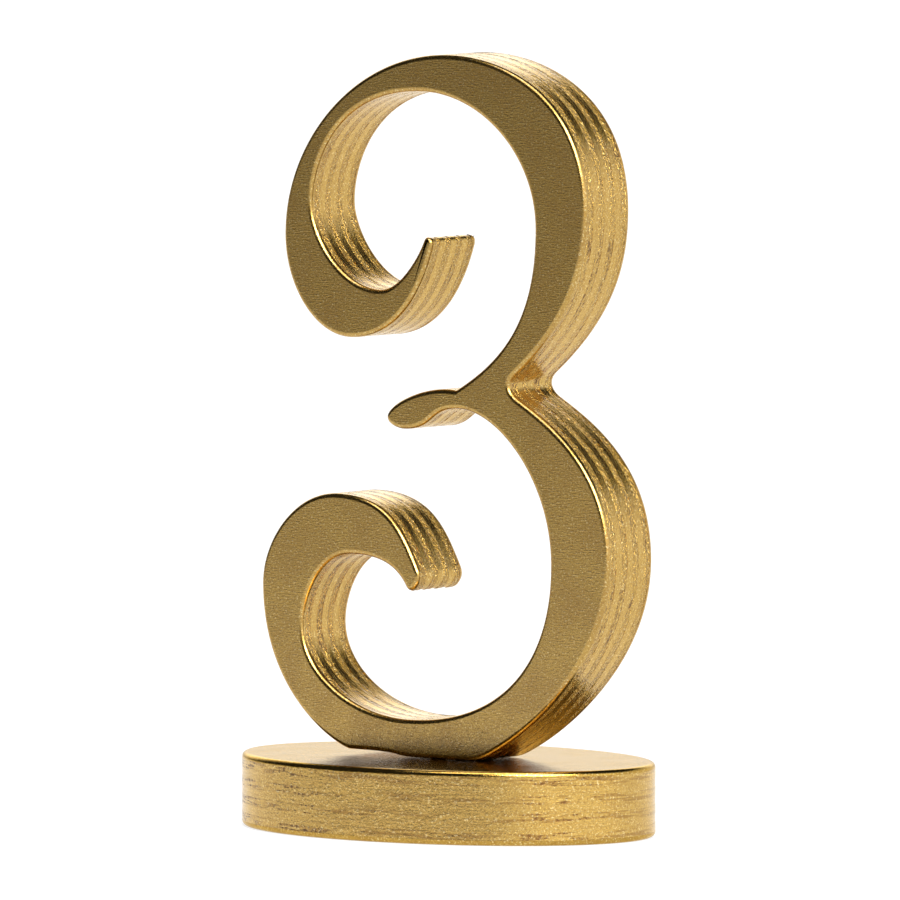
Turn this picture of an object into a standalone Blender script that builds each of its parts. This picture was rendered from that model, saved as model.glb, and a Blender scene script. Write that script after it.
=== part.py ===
"""A wooden table number: a swash numeral three that stands on an oval base.

Both are cut from nine-ply board, and two countersunk wood screws come up through the base into the numeral's foot.
Every veneer of each board is an object of its own. X runs to the right, +Z up, and the numeral faces -Y.
"""

import math

import bmesh
import bpy
from mathutils import Vector

MM = 0.001

# The board that the numeral and the base are cut from: thin face veneers over seven thicker inner ones.
BOARD = 15.0
FACE_VENEER = 1.1
GLUE_LINE = 0.06
PLY_NAMES = (
    "front_veneer",
    "cross_ply_1",
    "long_ply_1",
    "cross_ply_2",
    "core_ply",
    "cross_ply_3",
    "long_ply_2",
    "cross_ply_4",
    "back_veneer",
)
ARRIS_STEPS = 1
INNER_PLY = (BOARD - 2 * FACE_VENEER - (len(PLY_NAMES) - 1) * GLUE_LINE) / (len(PLY_NAMES) - 2)

# The oval base.
BASE_LENGTH = 94.0
BASE_WIDTH = 64.5
BASE_SIDES = 72
BASE_ARRIS = 1.0

# The numeral stands on the base, its outline measured in millimetres up from its foot.
NUMERAL_ARRIS = 0.9
FOOT_GAP = 0.05
CHORD_ERROR = 0.12
# Each knot of the outline is (x, z), the handle that arrives at it and the handle that leaves it.
OUTLINE = (
    ((-0.1, 106.7), (0, 0), (-1.2, -4.0)),  # upper tip, inner corner
    ((-11.9, 94.8), (5.0, 0), (-11.1, 0)),  # floor of the upper curl
    ((-29.6, 111.7), (0, -5.5), (0, 8.8)),  # upper hollow, left
    ((-1.4, 135.3), (-21.3, 0), (15.0, 0)),  # upper hollow, top
    ((27.8, 108.3), (0, 15.2), (0, -19.3)),  # upper hollow, right
    ((7.5, 75.1), (10.7, 5.9), (-7.1, 1.0)),  # crotch above the tongue
    ((-10.2, 69.0), (0, 3.0), (0, -1.7)),  # tongue, tip
    ((-6.2, 66.7), (-0.9, 0), (8.1, 0)),  # tongue, underside
    ((8.0, 71.3), (-7.6, 0), (10.3, 0)),  # tongue, root
    ((31.8, 40.6), (0, 16.9), (0, -20.7)),  # lower hollow, right
    ((-4.9, 7.7), (23.0, 0), (-14.2, 0)),  # lower hollow, floor
    ((-32.0, 25.8), (0, -10.2), (0, 5.3)),  # lower hollow, left
    ((-19.2, 40.7), (-8.7, 0), (9.4, 0)),  # lower curl, inner top
    ((-4.4, 32.9), (-1.9, 4.3), (0, 0)),  # lower tip, inner corner
    ((-1.2, 36.3), (0, 0), (-4.7, 9.4)),  # lower tip, outer corner
    ((-23.4, 52.9), (14.1, 0), (-10.9, 0)),  # lower curl, outer top
    ((-42.6, 33.8), (0, 8.7), (0, -24.0)),  # lower bowl, left
    ((-19.9, 0.9), (-2.1, 0), (5.8, 0)),  # heel, clear of the base
    ((-6.1, 0.0), (-3.0, 0.9), (0, 0)),  # foot, left end
    ((12.8, 0.0), (0, 0), (11.0, 4.2)),  # foot, right end
    ((46.7, 41.7), (0, -21.6), (0, 17.8)),  # lower bowl, right
    ((23.5, 73.8), (10.5, -5.8), (-2.3, 1.3)),  # waist, below the notch
    ((22.4, 78.5), (-1.9, -1.6), (14.6, 11.8)),  # waist, above the notch
    ((40.8, 112.2), (0, -11.3), (0, 22.6)),  # upper bowl, right
    ((5.5, 143.0), (15.4, 0), (-23.8, 0)),  # upper bowl, top
    ((-36.7, 105.3), (0, 19.4), (0, -10.6)),  # upper bowl, left
    ((-19.9, 84.8), (-9.2, 0), (11.7, 0)),  # upper curl, underside
    ((2.0, 105.8), (-3.1, -11.8), (0, 0)),  # upper tip, outer corner
)

# The screws, which run up from the underside of the base.
SCREW_PLACES = {"wood_screw_left": -2.5, "wood_screw_right": 9.5}
SCREW_SINK = 0.8
SCREW_LENGTH = 20.5
HEAD_RADIUS = 3.4
HEAD_CONE = 2.1
HEAD_RIM = 0.3
THREAD_RADIUS = 1.75
THREAD_ROOT = 1.2
THREAD_PITCH = 1.6
POINT_LENGTH = 3.2
SHANK_LENGTH = 7.0
RECESS_WIDTH = 0.8
RECESS_SPAN = 3.6
RECESS_DEPTH = 1.3
CLEARANCE = 0.3
SCREW_SIDES = 20


def clear_scene():
    for obj in list(bpy.data.objects):
        bpy.data.objects.remove(obj)


def material(name, colour, roughness, metallic):
    made = bpy.data.materials.new(name)
    made.use_nodes = True
    shader = made.node_tree.nodes["Principled BSDF"]
    shader.inputs["Base Color"].default_value = (*colour, 1)
    shader.inputs["Roughness"].default_value = roughness
    shader.inputs["Metallic"].default_value = metallic
    return made


def add_object(name, mesh, finish):
    obj = bpy.data.objects.new(name, mesh.data)
    bpy.context.collection.objects.link(obj)
    obj.data.materials.append(finish)
    return obj


class Solid:
    """A mesh that is built with bmesh operators, in millimetres."""

    def __init__(self, name):
        self.data = bpy.data.meshes.new(name)
        self.bm = bmesh.new()

    def finished(self):
        bmesh.ops.scale(self.bm, vec=(MM, MM, MM), verts=self.bm.verts)
        bmesh.ops.recalc_face_normals(self.bm, faces=self.bm.faces)
        self.bm.to_mesh(self.data)
        self.bm.free()
        return self


def plate(name, outline, along, thickness, arris=0.0, rounded_far_side=False):
    """The outline's points, spread through a thickness along a direction, with one long edge rounded if it says so."""
    solid = Solid(name)
    corners = [solid.bm.verts.new(point) for point in outline]
    near = solid.bm.faces.new(corners)
    grown = bmesh.ops.extrude_face_region(solid.bm, geom=[near], use_keep_orig=True)["geom"]
    moved = [item for item in grown if isinstance(item, bmesh.types.BMVert)]
    far = next(item for item in grown if isinstance(item, bmesh.types.BMFace))
    bmesh.ops.translate(solid.bm, vec=along * thickness, verts=moved)
    if arris:
        rim = list((far if rounded_far_side else near).edges)
        bmesh.ops.bevel(
            solid.bm, geom=rim, affect="EDGES", offset=arris, segments=ARRIS_STEPS, profile=0.5, material=-1
        )
    return solid.finished()


def bezier(start, leave, arrive, end):
    """Points from start up to, but not at, end: one for a straight run, or enough to follow a quarter turn."""
    rough_length = (leave - start).length + (arrive - leave).length + (end - arrive).length
    is_straight = leave == start and arrive == end
    count = 1 if is_straight else math.ceil(math.sqrt(0.2 * rough_length / CHORD_ERROR))
    for index in range(count):
        t = index / count
        s = 1 - t
        yield s**3 * start + 3 * s * s * t * leave + 3 * s * t * t * arrive + t**3 * end


def numeral_outline(y):
    """The numeral's outline at this depth, as points in space."""
    lift = BOARD + FOOT_GAP
    points = []
    for knot, following in zip(OUTLINE, OUTLINE[1:] + OUTLINE[:1]):
        start, leave = Vector(knot[0]), Vector(knot[2])
        end, arrive = Vector(following[0]), Vector(following[1])
        points += bezier(start, start + leave, end + arrive, end)
    return [Vector((point.x, y, point.y + lift)) for point in points]


def base_outline(z):
    turns = [2 * math.pi * index / BASE_SIDES for index in range(BASE_SIDES)]
    return [
        Vector((BASE_LENGTH / 2 * math.cos(turn), BASE_WIDTH / 2 * math.sin(turn), z)) for turn in turns
    ]


def ply_levels():
    """(name, distance from the board's first face, thickness) of each veneer."""
    level = 0.0
    for name in PLY_NAMES:
        thickness = FACE_VENEER if name.endswith("veneer") else INNER_PLY
        yield name, level, thickness
        level += thickness + GLUE_LINE


def ply_finish(name, finishes):
    return next(finish for kind, finish in finishes.items() if kind in name)


def add_numeral(finishes):
    plies = []
    for name, level, thickness in ply_levels():
        full_name = f"numeral_{name}"
        outline = numeral_outline(level - BOARD / 2)
        arris = NUMERAL_ARRIS if name.endswith("veneer") else 0.0
        is_back = name == PLY_NAMES[-1]
        mesh = plate(full_name, outline, Vector((0, 1, 0)), thickness, arris, is_back)
        plies.append(add_object(full_name, mesh, ply_finish(name, finishes)))
    return plies


def add_base(finishes):
    """The base's veneers, the first on top, so that its show face is the one the numeral stands on."""
    plies = []
    for name, level, thickness in ply_levels():
        full_name = f"base_{name.replace('front', 'top').replace('back', 'bottom')}"
        arris = BASE_ARRIS if name.endswith("veneer") else 0.0
        is_bottom = name == PLY_NAMES[-1]
        mesh = plate(full_name, base_outline(BOARD - level), Vector((0, 0, -1)), thickness, arris, is_bottom)
        plies.append(add_object(full_name, mesh, ply_finish(name, finishes)))
    return plies


def turned(name, profile, place, sides):
    """A solid of revolution about a vertical axis, from (radius, height) points that start and end on the axis."""
    solid = Solid(name)
    chain = [solid.bm.verts.new((place + radius, 0, height)) for radius, height in profile]
    edges = [solid.bm.edges.new(pair) for pair in zip(chain, chain[1:])]
    bmesh.ops.spin(
        solid.bm,
        geom=chain + edges,
        cent=(place, 0, 0),
        axis=(0, 0, 1),
        angle=2 * math.pi,
        steps=sides,
    )
    bmesh.ops.remove_doubles(solid.bm, verts=solid.bm.verts, dist=0.0001)
    return solid.finished()


def screw_profile():
    """A countersunk screw whose thread is drawn as rings, from the top of its head to its point."""
    head = SCREW_SINK
    tip = head + SCREW_LENGTH
    shank_end = head + SHANK_LENGTH
    profile = [(0, head), (HEAD_RADIUS, head), (HEAD_RADIUS, head + HEAD_RIM)]
    profile += [(THREAD_ROOT, head + HEAD_CONE), (THREAD_ROOT, shank_end)]
    rings = int((tip - POINT_LENGTH - shank_end) / THREAD_PITCH)
    for ring in range(rings):
        foot = shank_end + ring * THREAD_PITCH
        profile += [(THREAD_RADIUS, foot + THREAD_PITCH / 2), (THREAD_ROOT, foot + THREAD_PITCH)]
    return profile + [(0, tip)]


def bore_profile():
    """The countersunk hole for a screw, from below the base up into the numeral's foot."""
    seat = SCREW_SINK + HEAD_RIM
    top = SCREW_SINK + SCREW_LENGTH + CLEARANCE
    mouth = HEAD_RADIUS + CLEARANCE
    hole = THREAD_RADIUS + CLEARANCE
    slope = (HEAD_RADIUS - THREAD_ROOT) / (HEAD_CONE - HEAD_RIM)
    return [
        (0, -1.0),
        (mouth, -1.0),
        (mouth, seat + CLEARANCE),
        (hole, seat + CLEARANCE + (mouth - hole) / slope),
        (hole, top - POINT_LENGTH),
        (0, top),
    ]


def hide_as_cutter(obj):
    obj.hide_render = True
    obj.display_type = "WIRE"


def cut(target, cutter):
    boolean = target.modifiers.new(cutter.name, "BOOLEAN")
    boolean.operation = "DIFFERENCE"
    boolean.object = cutter


def add_recess_cutter(name, place, long_side, finish):
    """One bar of the cross that a screwdriver turns."""
    solid = Solid(name)
    bmesh.ops.create_cube(solid.bm, size=1)
    size = (RECESS_SPAN, RECESS_WIDTH) if long_side == "x" else (RECESS_WIDTH, RECESS_SPAN)
    bmesh.ops.scale(solid.bm, vec=(*size, 2 * RECESS_DEPTH), verts=solid.bm.verts)
    bmesh.ops.translate(solid.bm, vec=(place, 0, SCREW_SINK), verts=solid.bm.verts)
    cutter = add_object(name, solid.finished(), finish)
    hide_as_cutter(cutter)
    return cutter


def reaches(obj, low, high, axis):
    """Whether the object's mesh lies partly between these heights or depths, in millimetres."""
    values = [vert.co[axis] / MM for vert in obj.data.vertices]
    return min(values) < high and max(values) > low


def add_screws(plies, steel):
    bore_radius = THREAD_RADIUS + CLEARANCE
    crossed = [ply for ply in plies if reaches(ply, -bore_radius, bore_radius, axis=1)]
    for name, place in SCREW_PLACES.items():
        screw = add_object(name, turned(name, screw_profile(), place, SCREW_SIDES), steel)
        for long_side in ("x", "y"):
            cut(screw, add_recess_cutter(f"{name}_recess_{long_side}", place, long_side, steel))
        bore = add_object(f"{name}_bore", turned(f"{name}_bore", bore_profile(), place, SCREW_SIDES), steel)
        hide_as_cutter(bore)
        for ply in crossed:
            cut(ply, bore)


def main():
    clear_scene()
    long_grain = material("gold_on_long_grain", (0.42, 0.29, 0.10), 0.40, 0.9)
    finishes = {
        "veneer": material("gold_on_face_veneer", (0.40, 0.28, 0.10), 0.36, 0.9),
        "cross": material("gold_on_end_grain", (0.30, 0.19, 0.06), 0.55, 0.9),
        "long": long_grain,
        "core": long_grain,
    }
    steel = material("zinc_plated_steel", (0.62, 0.62, 0.60), 0.35, 1.0)
    plies = add_numeral(finishes) + add_base(finishes)
    add_screws(plies, steel)


main()
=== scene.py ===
"""The looks of a wooden table number: a gold-painted swash three on an oval base, both of nine-ply board.

Every veneer of the two boards is a fine mesh of its own, with the painted grain of its kind on its edge.
Lengths are in millimetres until a mesh is finished. X runs to the right, +Z up, and the numeral faces -Y.
"""

import math

import bmesh
import bpy
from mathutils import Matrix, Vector, noise

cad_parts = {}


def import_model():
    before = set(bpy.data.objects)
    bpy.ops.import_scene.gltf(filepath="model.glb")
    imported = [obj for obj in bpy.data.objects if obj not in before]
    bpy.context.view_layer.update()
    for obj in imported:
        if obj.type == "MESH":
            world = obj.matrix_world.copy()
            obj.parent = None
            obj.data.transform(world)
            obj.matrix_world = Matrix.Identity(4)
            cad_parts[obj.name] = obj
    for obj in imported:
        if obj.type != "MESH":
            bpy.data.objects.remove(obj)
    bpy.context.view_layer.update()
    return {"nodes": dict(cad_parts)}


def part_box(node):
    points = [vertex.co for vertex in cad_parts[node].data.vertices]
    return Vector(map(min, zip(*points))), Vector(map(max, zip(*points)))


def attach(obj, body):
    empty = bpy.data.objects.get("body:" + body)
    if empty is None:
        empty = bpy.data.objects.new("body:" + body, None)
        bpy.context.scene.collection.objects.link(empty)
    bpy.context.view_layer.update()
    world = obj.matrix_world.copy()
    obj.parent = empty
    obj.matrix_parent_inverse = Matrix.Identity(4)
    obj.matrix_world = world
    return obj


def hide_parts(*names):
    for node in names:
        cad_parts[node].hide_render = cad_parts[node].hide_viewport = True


MM = 0.001
PER_METRE = 1000

# The numeral's outline in millimetres up from its foot: (x, z), the handle that arrives and the one that leaves.
OUTLINE = (
    ((-0.1, 106.7), (0, 0), (-1.2, -4.0)),  # upper tip, inner corner
    ((-11.9, 94.8), (5.0, 0), (-11.1, 0)),  # floor of the upper curl
    ((-29.6, 111.7), (0, -5.5), (0, 8.8)),  # upper hollow, left
    ((-1.4, 135.3), (-21.3, 0), (15.0, 0)),  # upper hollow, top
    ((27.8, 108.3), (0, 15.2), (0, -19.3)),  # upper hollow, right
    ((7.5, 75.1), (10.7, 5.9), (-7.1, 1.0)),  # crotch above the tongue
    ((-10.2, 69.0), (0, 3.0), (0, -1.7)),  # tongue, tip
    ((-6.2, 66.7), (-0.9, 0), (8.1, 0)),  # tongue, underside
    ((8.0, 71.3), (-7.6, 0), (10.3, 0)),  # tongue, root
    ((31.8, 40.6), (0, 16.9), (0, -20.7)),  # lower hollow, right
    ((-4.9, 7.7), (23.0, 0), (-14.2, 0)),  # lower hollow, floor
    ((-32.0, 25.8), (0, -10.2), (0, 5.3)),  # lower hollow, left
    ((-19.2, 40.7), (-8.7, 0), (9.4, 0)),  # lower curl, inner top
    ((-4.4, 32.9), (-1.9, 4.3), (0, 0)),  # lower tip, inner corner
    ((-1.2, 36.3), (0, 0), (-4.7, 9.4)),  # lower tip, outer corner
    ((-23.4, 52.9), (14.1, 0), (-10.9, 0)),  # lower curl, outer top
    ((-42.6, 33.8), (0, 8.7), (0, -24.0)),  # lower bowl, left
    ((-19.9, 0.9), (-2.1, 0), (5.8, 0)),  # heel, clear of the base
    ((-6.1, 0.0), (-3.0, 0.9), (0, 0)),  # foot, left end
    ((12.8, 0.0), (0, 0), (11.0, 4.2)),  # foot, right end
    ((46.7, 41.7), (0, -21.6), (0, 17.8)),  # lower bowl, right
    ((23.5, 73.8), (10.5, -5.8), (-2.3, 1.3)),  # waist, below the notch
    ((22.4, 78.5), (-1.9, -1.6), (14.6, 11.8)),  # waist, above the notch
    ((40.8, 112.2), (0, -11.3), (0, 22.6)),  # upper bowl, right
    ((5.5, 143.0), (15.4, 0), (-23.8, 0)),  # upper bowl, top
    ((-36.7, 105.3), (0, 19.4), (0, -10.6)),  # upper bowl, left
    ((-19.9, 84.8), (-9.2, 0), (11.7, 0)),  # upper curl, underside
    ((2.0, 105.8), (-3.1, -11.8), (0, 0)),  # upper tip, outer corner
)

# The edge of each kind of veneer: how far apart its points are, its rows, and how deep the cutter tore it.
EDGES = {
    "face": {"spacing": 0.5, "rows": 1, "sunk": 0.0, "torn": 0.01},
    "long": {"spacing": 0.5, "rows": 5, "sunk": 0.03, "torn": 0.02},
    "cross": {"spacing": 0.3, "rows": 7, "sunk": 0.0, "torn": 0.1},
}
BASE_TORN = 0.15
TEAR_WIDTH = 0.75
STREAK_LENGTH = 7.0
STREAK_WIDTH = 0.7

# The rounded outer edges, and the narrow flat beside each that keeps the face's shading level.
NUMERAL_ARRIS = 0.9
BASE_ARRIS = 1.0
ARRIS_STEPS = 6
RIM = 0.1
CORNER_CLEAR = 2.0
CORNER_STEPS = 8
GLUE_FILL = 0.028
SHARP_ANGLE = math.radians(60)

# The bores that the two screws pass through.
SCREWS = ("wood_screw_left", "wood_screw_right")
CLEARANCE = 0.3
THREAD_RADIUS = 1.75
HEAD_RIM = 0.3
HEAD_SLOPE = 1.222
BORE_SIDES = 48


class Value:
    """One output of a node. Arithmetic on it adds Math nodes."""

    def __init__(self, nodes, output):
        self.nodes = nodes
        self.output = output

    def math(self, operation, *others, clamped=False):
        inputs = dict(enumerate(others))
        return self.nodes.add("ShaderNodeMath", {"operation": operation, "use_clamp": clamped}, inputs)

    def __add__(self, other):
        return self.math("ADD", self, other)

    def __sub__(self, other):
        return self.math("SUBTRACT", self, other)

    def __rsub__(self, other):
        return self.math("SUBTRACT", other, self)

    def __mul__(self, other):
        return self.math("MULTIPLY", self, other)

    __radd__ = __add__
    __rmul__ = __mul__

    def clamped(self):
        return self.math("ADD", self, 0.0, clamped=True)


class Nodes:
    """A node tree, and the short forms that every finish here is written with."""

    def __init__(self, owner):
        owner.use_nodes = True
        self.tree = owner.node_tree
        self.tree.nodes.clear()

    def add(self, kind, settings=None, inputs=None, output=0):
        node = self.tree.nodes.new(kind)
        for name, value in (settings or {}).items():
            setattr(node, name, value)
        for name, value in (inputs or {}).items():
            if isinstance(value, Value):
                self.tree.links.new(value.output, node.inputs[name])
            else:
                node.inputs[name].default_value = value
        return Value(self, node.outputs[output]) if node.outputs else None

    def place(self, stretch=(1, 1, 1)):
        """Where a point is on the object, in millimetres times this stretch."""
        here = self.add("ShaderNodeTexCoord", output="Object")
        scale = tuple(PER_METRE * part for part in stretch)
        return self.add("ShaderNodeVectorMath", {"operation": "MULTIPLY"}, {0: here, 1: scale})

    def part(self, vector, axis):
        return self.add("ShaderNodeSeparateXYZ", inputs={0: vector}, output=axis)

    def noise(self, vector, scale, detail=2.0, roughness=0.5, distortion=0.0):
        inputs = {"Vector": vector, "Scale": scale, "Detail": detail}
        inputs |= {"Roughness": roughness, "Distortion": distortion}
        return self.add("ShaderNodeTexNoise", inputs=inputs)

    def ramp(self, value, low, high, to_low=0.0, to_high=1.0):
        """A smooth step from one value to another as this value goes from low to high."""
        settings = {"interpolation_type": "SMOOTHSTEP"}
        inputs = {"Value": value, "From Min": low, "From Max": high, "To Min": to_low, "To Max": to_high}
        return self.add("ShaderNodeMapRange", settings, inputs)

    def mix(self, share, first, second):
        """Two colours mixed by this share of the second."""
        return self.add("ShaderNodeMix", {"data_type": "RGBA"}, {0: share, 6: first, 7: second}, output=2)

    def bump(self, height, depth, below=None):
        inputs = {"Height": height, "Distance": depth * MM, "Strength": 1.0}
        if below is not None:
            inputs["Normal"] = below
        return self.add("ShaderNodeBump", inputs=inputs)

    def near(self, spot, reach):
        """One close to this upright line in millimetres, fading to nought at this reach."""
        flat = self.add("ShaderNodeVectorMath", {"operation": "MULTIPLY"}, {0: self.place(), 1: (1, 1, 0)})
        inputs = {0: flat, 1: (*spot, 0)}
        away = self.add("ShaderNodeVectorMath", {"operation": "DISTANCE"}, inputs, output="Value")
        return self.ramp(away, reach * 0.4, reach, 1.0, 0.0)

    def torn_share(self, across):
        """How much of an edge is torn here: a few spots on the base, and patches on the numeral."""
        if across == "y":
            return self.ramp(self.noise(self.place(), 0.06, detail=1.0), 0.50, 0.62)
        share = self.near(TORN_SPOTS[0], TORN_REACH)
        for spot in TORN_SPOTS[1:]:
            share = share + self.near(spot, TORN_REACH)
        return share

    def finish(self, shader, kind="Material"):
        self.add(f"ShaderNodeOutput{kind}", inputs={"Surface": shader})

    def metal(self, colour, roughness, normal):
        inputs = {"Base Color": colour, "Metallic": 1.0, "Roughness": roughness, "Normal": normal}
        self.finish(self.add("ShaderNodeBsdfPrincipled", inputs=inputs))


def new_material(name):
    made = bpy.data.materials.new(name)
    return made, Nodes(made)


PAINT = (0.53, 0.335, 0.078, 1)
# The face veneers' gold is a darker copy of the edges' paint: painted shade.
FACE_PAINT_WITH_PAINTED_SHADE = (0.46, 0.29, 0.062, 1)
THIN_PAINT = (0.30, 0.155, 0.030, 1)
BARE_BROWN = (0.10, 0.035, 0.008, 1)
# Painted glint: the colour of the bright specks, which stand in for light caught by the metal flake.
PAINTED_GLINT = (1.0, 0.86, 0.50, 1)

# Where the base's edge was torn most, in millimetres.
TORN_REACH = 13
TORN_SPOTS = ((41, -16), (-37, -19), (-14, -30), (-40, 12), (20, 29))


def along_the_edge(across, length, width):
    """A stretch that draws a pattern out along a board's edge, whose thickness runs along this axis."""
    return tuple(1 / width if axis == across else 1 / length for axis in "xyz")


def gold_paint(nodes, colour, roughness, normal, gloss):
    """Metal flake in a clear binder, which adds this much white gloss."""
    inputs = {"Base Color": colour, "Metallic": 1.0, "Roughness": roughness, "Normal": normal}
    inputs |= {"Specular Tint": (1.0, 0.87, 0.62, 1), "Coat Weight": gloss, "Coat Roughness": 0.15}
    nodes.finish(nodes.add("ShaderNodeBsdfPrincipled", inputs=inputs))


def speckled(nodes, speck, colour, thin, bright):
    """This colour with the sand-like dark specks that dry flake leaves, and bright specks that are painted glints
    of the flake.
    """
    colour = nodes.mix(nodes.ramp(speck, 0.52, 0.68, 0.0, thin), colour, THIN_PAINT)
    return nodes.mix(nodes.ramp(speck, 0.44, 0.30, 0.0, bright), colour, PAINTED_GLINT)


def gold_on_face_veneer(across, smoothest, gloss):
    """Satin gold over the face veneers, whose fibres run along X."""
    material, nodes = new_material(f"gold_on_face_veneer_{across}")
    fibres = nodes.noise(nodes.place((0.6, 4.0, 4.0)), 1.0, detail=3.0, roughness=0.65)
    cloud = nodes.noise(nodes.place(), 0.12, detail=3.0)
    speck = nodes.noise(nodes.place(), 2.4, detail=2.0, roughness=0.7)
    # The faces start from the darker copy of the paint, which is painted shade.
    colour = nodes.mix(nodes.ramp(cloud, 0.35, 0.7, 0.0, 0.3), FACE_PAINT_WITH_PAINTED_SHADE, THIN_PAINT)
    colour = nodes.mix(nodes.ramp(fibres, 0.5, 0.72, 0.0, 0.65), colour, THIN_PAINT)
    colour = speckled(nodes, speck, colour, 0.7, 0.45)
    rough = smoothest + nodes.ramp(cloud, 0.3, 0.7) * 0.06 + nodes.ramp(fibres, 0.5, 0.7) * 0.1
    normal = nodes.bump(fibres * -0.03 + speck * -0.025, 1.0)
    gold_paint(nodes, colour, rough.clamped(), normal, gloss)
    return material


def gold_on_long_grain(across):
    """Satin gold over the edge of a veneer that the cutter left smooth, with fine lines along the edge."""
    material, nodes = new_material(f"gold_on_long_grain_{across}")
    lines = nodes.noise(nodes.place(along_the_edge(across, 9.0, 0.5)), 1.0, detail=2.0, roughness=0.6)
    speck = nodes.noise(nodes.place(), 2.4, detail=2.0, roughness=0.7)
    colour = nodes.mix(nodes.ramp(lines, 0.45, 0.75, 0.0, 0.3), PAINT, THIN_PAINT)
    colour = speckled(nodes, speck, colour, 0.6, 0.4)
    rough = (0.18 + nodes.ramp(lines, 0.3, 0.7) * 0.06).clamped()
    normal = nodes.bump(lines * 0.03 + speck * -0.07, 1.0)
    gold_paint(nodes, colour, rough, normal, 0.5)
    return material


def gold_on_end_grain(across, relief, streaks):
    """Gold over torn end grain: gritty, with rows of pores that the paint did not fill."""
    material, nodes = new_material(f"gold_on_end_grain_{across}")
    grit = nodes.noise(nodes.place(along_the_edge(across, 0.9, 0.7)), 1.0, detail=3.0, roughness=0.6)
    rows = nodes.noise(nodes.place(along_the_edge(across, 7.0, 0.5)), 1.0, detail=1.0)
    speck = nodes.noise(nodes.place(), 2.0, detail=2.0, roughness=0.7)
    torn = nodes.torn_share(across)
    pits = nodes.ramp(grit, 0.5, 0.58) * nodes.ramp(rows, 0.47, 0.55) * torn
    colour = nodes.mix(nodes.ramp(rows, 0.45, 0.62, 0.0, streaks), PAINT, THIN_PAINT)
    colour = speckled(nodes, speck, colour, 0.6, 0.45)
    colour = nodes.mix((pits * 0.8).clamped(), colour, BARE_BROWN)
    rough = (0.25 + pits * 0.3).clamped()
    normal = nodes.bump(grit * -0.55 + speck * -0.3, relief)
    gold_paint(nodes, colour, rough, normal, 0.5)
    return material


def zinc_plated_steel():
    material, nodes = new_material("zinc_plated_steel")
    wear = nodes.noise(nodes.place(), 0.8, detail=4.0)
    colour = nodes.mix(wear, (0.62, 0.61, 0.56, 1), (0.42, 0.42, 0.41, 1))
    rough = nodes.ramp(wear, 0.3, 0.7, 0.28, 0.45)
    nodes.metal(colour, rough, nodes.bump(wear, 0.01))
    return material


def bezier(start, leave, arrive, end, count):
    for index in range(count):
        t = index / count
        s = 1 - t
        yield s**3 * start + 3 * s * s * t * leave + 3 * s * t * t * arrive + t**3 * end


def numeral_outline(spacing):
    """The outline as (x, z) points about this far apart, with none close beside a sharp corner."""
    points = []
    corners = []
    for knot, following in zip(OUTLINE, OUTLINE[1:] + OUTLINE[:1]):
        start, end = Vector(knot[0]), Vector(following[0])
        leave, arrive = start + Vector(knot[2]), end + Vector(following[1])
        is_corner = Vector(knot[1]).length == 0 or Vector(knot[2]).length == 0
        if is_corner:
            corners.append(start)
        handles = (leave - start).length + (arrive - leave).length + (end - arrive).length
        length = (handles + (end - start).length) / 2
        points += bezier(start, leave, arrive, end, max(1, round(length / spacing)))
    for corner in corners:
        points = rounded(points, corner)
    return points


def rounded(points, corner):
    """The outline with this corner worn round."""
    place = points.index(corner)
    ring = points[place:] + points[:place]
    kept = [point for point in ring[1:] if (point - corner).length > CORNER_CLEAR]
    after, before = kept[0], kept[-1]
    turn = [quadratic(before, corner, after, step / CORNER_STEPS) for step in range(1, CORNER_STEPS)]
    return kept + turn


def quadratic(start, handle, end, t):
    return (1 - t) ** 2 * start + 2 * t * (1 - t) * handle + t * t * end


def ellipse(half_length, half_width, spacing):
    around = math.pi * (half_length + half_width)
    count = 4 * round(around / spacing / 4)
    turns = [2 * math.pi * index / count for index in range(count)]
    return [Vector((half_length * math.cos(turn), half_width * math.sin(turn))) for turn in turns]


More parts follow.
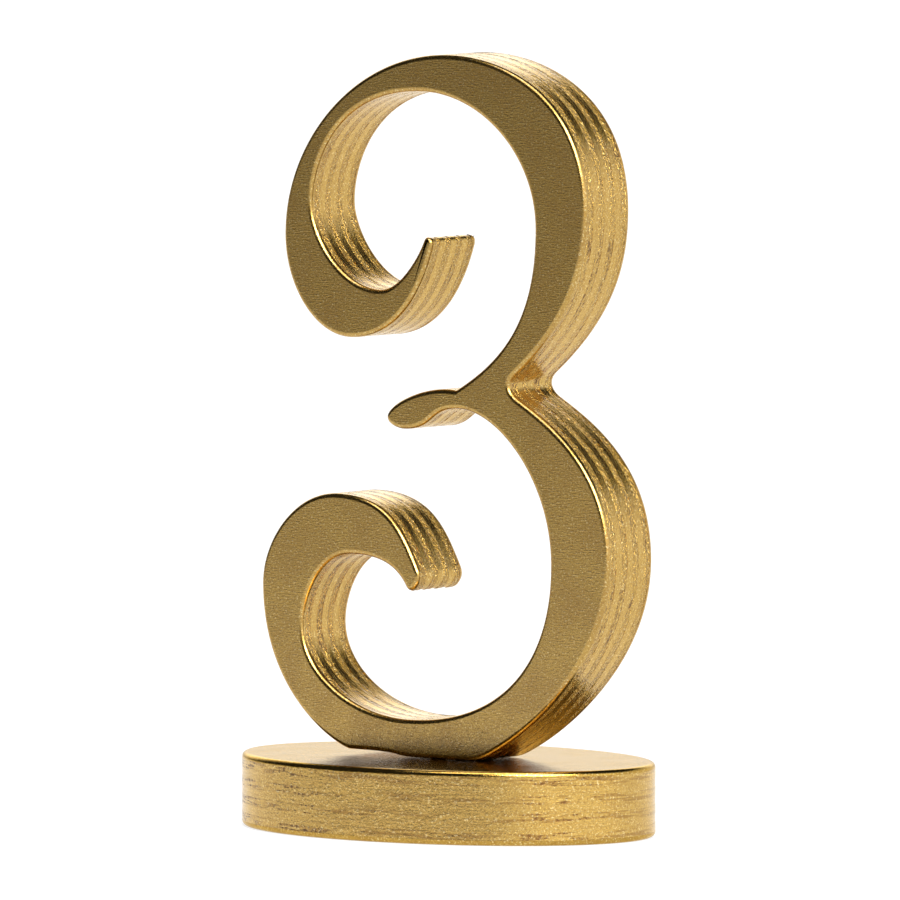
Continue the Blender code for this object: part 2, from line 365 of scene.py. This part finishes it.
class Ply:
    """One veneer, grown from its outline in millimetres. shown says which of its flats is an outer face, if any."""

    def __init__(self, name, across, shown):
        self.name = name
        self.kind = ply_kind(name)
        self.edge = EDGES[self.kind]
        self.torn = self.edge["torn"] * (BASE_TORN if across == "z" else 1)
        self.across = "xyz".index(across)
        self.shown = shown
        low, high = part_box(name)
        self.low = low[self.across] * PER_METRE - (0 if shown == "low" else GLUE_FILL)
        self.high = high[self.across] * PER_METRE + (0 if shown == "high" else GLUE_FILL)
        self.bm = bmesh.new()

    def grow(self, outline):
        """The outline's points in space, drawn through the veneer's thickness."""
        corners = [self.bm.verts.new(point) for point in outline]
        near = self.bm.faces.new(corners)
        grown = bmesh.ops.extrude_face_region(self.bm, geom=[near], use_keep_orig=True)["geom"]
        moved = [item for item in grown if isinstance(item, bmesh.types.BMVert)]
        step = Vector((0, 0, 0))
        step[self.across] = self.high - self.low
        bmesh.ops.translate(self.bm, vec=step, verts=moved)
        bmesh.ops.recalc_face_normals(self.bm, faces=self.bm.faces)

    def outer_face(self):
        flats = [face for face in self.bm.faces if len(face.verts) > 4]
        pick = min if self.shown == "low" else max
        return pick(flats, key=lambda face: face.calc_center_median()[self.across])

    def round_arris(self, width):
        rim = list(self.outer_face().edges)
        bmesh.ops.bevel(
            self.bm, geom=rim, affect="EDGES", offset=width, segments=ARRIS_STEPS, profile=0.5, material=-1
        )
        bmesh.ops.inset_region(self.bm, faces=[self.outer_face()], thickness=RIM, use_even_offset=True)

    def split_walls(self):
        """Rows of small faces round the edge, for the tearing to move."""
        tall = (self.high - self.low) * (0.5 if not self.shown else 0.05)
        walls = [
            edge for edge in self.bm.edges
            if edge.verts[0].co.xz == edge.verts[1].co.xz or edge.verts[0].co.xy == edge.verts[1].co.xy
        ]
        walls = [edge for edge in walls if edge.calc_length() > tall]
        bmesh.ops.subdivide_edges(self.bm, edges=walls, cuts=self.edge["rows"], use_grid_fill=True)

    def tear(self, seed):
        """Moves the edge's points inwards by as much as the cutter tore out."""
        self.bm.normal_update()
        shift = Vector((7.3, 3.1, 5.7)) * seed
        for vert in self.bm.verts:
            out = vert.normal.copy()
            out[self.across] = 0
            if out.length < 0.6:
                continue
            fine = noise.fractal(vert.co / TEAR_WIDTH + shift, 0.9, 2.0, 3)
            drawn = vert.co / STREAK_LENGTH
            drawn[self.across] = vert.co[self.across] / STREAK_WIDTH
            streak = 1 + noise.noise(drawn + shift)
            depth = self.edge["sunk"] + self.torn * min(max(0.5 + 0.5 * fine, 0), 1.5) * streak
            vert.co -= out.normalized() * depth

    def finished(self, material):
        bmesh.ops.scale(self.bm, vec=(MM, MM, MM), verts=self.bm.verts)
        return new_piece(self.name + "_painted", self.bm, material)


def new_piece(name, bm, material):
    mesh = bpy.data.meshes.new(name)
    bm.to_mesh(mesh)
    bm.free()
    piece = bpy.data.objects.new(name, mesh)
    bpy.context.collection.objects.link(piece)
    if material:
        piece.data.materials.append(material)
    return piece


def shade(piece):
    """Smooth, apart from the hard edges."""
    bm = bmesh.new()
    bm.from_mesh(piece.data)
    for face in bm.faces:
        face.smooth = True
    for edge in bm.edges:
        edge.smooth = edge.calc_face_angle(math.pi) < SHARP_ANGLE
    bm.to_mesh(piece.data)
    bm.free()


def ply_kind(name):
    return next(kind for kind, word in (("face", "veneer"), ("cross", "cross"), ("long", "")) if word in name)


def numeral_points(ply):
    low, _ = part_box("numeral_core_ply")
    foot = low.z * PER_METRE
    return [Vector((point.x, ply.low, point.y + foot)) for point in numeral_outline(ply.edge["spacing"])]


def base_points(ply):
    _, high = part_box("base_core_ply")
    half_length, half_width = high.x * PER_METRE, high.y * PER_METRE
    return [Vector((*point, ply.low)) for point in ellipse(half_length, half_width, ply.edge["spacing"])]


def turned(profile, centre, sides):
    """A bmesh turned about a vertical axis from (radius, height) points that start and end on the axis."""
    bm = bmesh.new()
    chain = [bm.verts.new((centre + radius, 0, height)) for radius, height in profile]
    edges = [bm.edges.new(pair) for pair in zip(chain, chain[1:])]
    bmesh.ops.spin(
        bm, geom=chain + edges, cent=(centre, 0, 0), axis=(0, 0, 1), angle=2 * math.pi, steps=sides, use_merge=True
    )
    bmesh.ops.remove_doubles(bm, verts=bm.verts, dist=0.001)
    bmesh.ops.recalc_face_normals(bm, faces=bm.faces)
    return bm


def screw_sizes(name):
    """The screw's place along X, its head's radius, and the heights of its head and its point."""
    low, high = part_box(name)
    centre = (low.x + high.x) / 2 * PER_METRE
    return centre, (high.x - low.x) / 2 * PER_METRE, low.z * PER_METRE, high.z * PER_METRE


def bore_for(name):
    """A cutter for the countersunk hole that this screw sits in."""
    centre, head_radius, head, tip = screw_sizes(name)
    mouth = head_radius + CLEARANCE
    hole = THREAD_RADIUS + CLEARANCE
    seat = head + HEAD_RIM + CLEARANCE
    profile = [(0, -1), (mouth, -1), (mouth, seat), (hole, seat + (mouth - hole) / HEAD_SLOPE)]
    profile += [(hole, tip - THREAD_RADIUS), (0, tip + CLEARANCE)]
    bm = turned(profile, centre, BORE_SIDES)
    bmesh.ops.scale(bm, vec=(MM, MM, MM), verts=bm.verts)
    return new_piece(name + "_bore", bm, None)


def cut_bores(piece, bores):
    """Cuts the holes out of this piece's mesh for good."""
    for bore in bores:
        boolean = piece.modifiers.new(bore.name, "BOOLEAN")
        boolean.operation = "DIFFERENCE"
        boolean.object = bore
    graph = bpy.context.evaluated_depsgraph_get()
    solid = bpy.data.meshes.new_from_object(piece.evaluated_get(graph))
    piece.modifiers.clear()
    piece.data = solid


def make_ply(name, across, points_of, arris, shown, material, seed):
    ply = Ply(name, across, shown)
    ply.grow(points_of(ply))
    if shown:
        ply.round_arris(arris)
    ply.split_walls()
    ply.tear(seed)
    return ply.finished(material)


def is_crossed(name):
    """Whether the screws pass through this ply: all of the base's, and the numeral's middle ones."""
    low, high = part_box(name)
    reach = (THREAD_RADIUS + CLEARANCE) * MM
    return low.y < reach and high.y > -reach


def make_boards(nodes):
    finishes = {
        "numeral": {
            "face": gold_on_face_veneer("y", 0.18, 0.7),
            "long": gold_on_long_grain("y"),
            "cross": gold_on_end_grain("y", 1.0, 0.25),
        },
        "base": {
            "face": gold_on_face_veneer("z", 0.09, 0.0),
            "long": gold_on_long_grain("z"),
            "cross": gold_on_end_grain("z", 0.14, 0.7),
        },
    }
    shown_sides = {
        "numeral_front_veneer": "low",
        "numeral_back_veneer": "high",
        "base_top_veneer": "high",
        "base_bottom_veneer": "low",
    }
    forms = {
        "numeral": ("y", numeral_points, NUMERAL_ARRIS),
        "base": ("z", base_points, BASE_ARRIS),
    }
    bores = [bore_for(name) for name in SCREWS]
    for seed, name in enumerate(sorted(set(nodes) - set(SCREWS))):
        board = name.split("_")[0]
        kind = ply_kind(name)
        piece = make_ply(name, *forms[board], shown_sides.get(name), finishes[board][kind], seed)
        if is_crossed(name):
            cut_bores(piece, bores)
        shade(piece)
        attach(piece, "root")
        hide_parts(name)
    for bore in bores:
        bpy.data.objects.remove(bore)


# The camera: where it looks, from which side and how far away.
VIEW_TURN = math.radians(38.11)
VIEW_RISE = math.radians(3.89)
VIEW_DISTANCE = 4.0
VIEW_TARGET = (0.000485, 0, 0.07737)
VIEW_SPAN = 0.1826


def add_camera():
    target = Vector(VIEW_TARGET)
    away = Vector((
        math.sin(VIEW_TURN) * math.cos(VIEW_RISE),
        -math.cos(VIEW_TURN) * math.cos(VIEW_RISE),
        math.sin(VIEW_RISE),
    ))
    camera = bpy.data.objects.new("camera", bpy.data.cameras.new("camera"))
    bpy.context.collection.objects.link(camera)
    camera.location = target + away * VIEW_DISTANCE
    camera.rotation_mode = "QUATERNION"
    camera.rotation_quaternion = (-away).to_track_quat("-Z", "Y")
    camera.data.sensor_width = 36
    camera.data.lens = 36 * VIEW_DISTANCE / VIEW_SPAN
    camera.data.clip_start = 0.1
    camera.data.clip_end = 100
    bpy.context.scene.camera = camera


FLOOR_GLOW = 0.8
FLOOR_RADIUS = 30
FLOOR_DROP = 0.0001

# Where the soft box on the right is, and its brightest part.
BOX_TOWARD = (0.97, -0.25)
CORE_TOWARD = (0.60, -0.50, 0.625)


def add_floor():
    bm = bmesh.new()
    bmesh.ops.create_circle(bm, cap_ends=True, segments=96, radius=FLOOR_RADIUS)
    bmesh.ops.translate(bm, vec=(0, 0, -FLOOR_DROP), verts=bm.verts)
    material, nodes = new_material("white_floor")
    floor = new_piece("floor", bm, material)
    here = nodes.add("ShaderNodeTexCoord", output="Object")
    x, y = nodes.part(here, "X"), nodes.part(here, "Y")
    rightward = x * math.cos(VIEW_TURN) + y * math.sin(VIEW_TURN)
    forward = x * math.sin(VIEW_TURN) - y * math.cos(VIEW_TURN)
    # Painted shade on the floor: the glow is dimmed to the camera's left, beside and in front of the object.
    beside = nodes.ramp(forward, -0.6, -0.2)
    far_left_painted_shade = nodes.ramp(rightward, -1.4, -0.1, 0.7, 0.0)
    glow = (FLOOR_GLOW - beside * far_left_painted_shade).clamped()
    inputs = {"Base Color": (0.25, 0.25, 0.25, 1), "Roughness": 0.9, "Specular IOR Level": 0.0}
    inputs |= {"Emission Color": (1, 1, 1, 1), "Emission Strength": glow}
    nodes.finish(nodes.add("ShaderNodeBsdfPrincipled", inputs=inputs))


def add_world():
    """A white wall behind, a soft box on the right, and a dark room in front and on the left."""
    world = bpy.data.worlds.new("studio")
    bpy.context.scene.world = world
    nodes = Nodes(world)
    toward = nodes.add("ShaderNodeTexCoord", output="Generated")
    x, y, z = (nodes.part(toward, axis) for axis in "XYZ")
    left = nodes.ramp(x, -0.5, -0.1, 1.0, 0.0)
    top_edge = z - left * 0.16
    wall = nodes.ramp(y, 0.0, 0.6) * nodes.ramp(top_edge, 0.43, 0.50, 1.0, 0.0)
    wall = wall * (1.25 - nodes.ramp(z, 0.1, 0.4) * 0.4 + left * (nodes.ramp(z, 0.05, 0.3) * 1.9 - 0.5))
    toward_box = x * BOX_TOWARD[0] + y * BOX_TOWARD[1]
    box = nodes.ramp(toward_box, 0.55, 0.97) * nodes.ramp(z, 0.6, 0.85, 1.0, 0.0)
    core = nodes.ramp(x * CORE_TOWARD[0] + y * CORE_TOWARD[1] + z * CORE_TOWARD[2], 0.92, 0.97)
    light = 0.03 + wall + box * 1.8 + core * 14.0
    background = nodes.add("ShaderNodeBackground", inputs={"Color": (1, 1, 1, 1), "Strength": light})
    nodes.finish(background, "World")


def add_overhead_light():
    light = bpy.data.lights.new("overhead", "AREA")
    light.shape = "DISK"
    light.size = 1.2
    light.energy = 14
    lamp = bpy.data.objects.new("overhead", light)
    bpy.context.collection.objects.link(lamp)
    lamp.location = (0.0, -0.45, 1.75)
    lamp.rotation_mode = "QUATERNION"
    lamp.rotation_quaternion = lamp.location.to_track_quat("Z", "Y")


def main():
    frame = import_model()
    make_boards(frame["nodes"])
    steel = zinc_plated_steel()
    for name in SCREWS:
        frame["nodes"][name].data.materials.clear()
        frame["nodes"][name].data.materials.append(steel)
    add_camera()
    add_floor()
    add_world()
    add_overhead_light()
    bpy.context.scene.view_settings.view_transform = "Standard"


main()
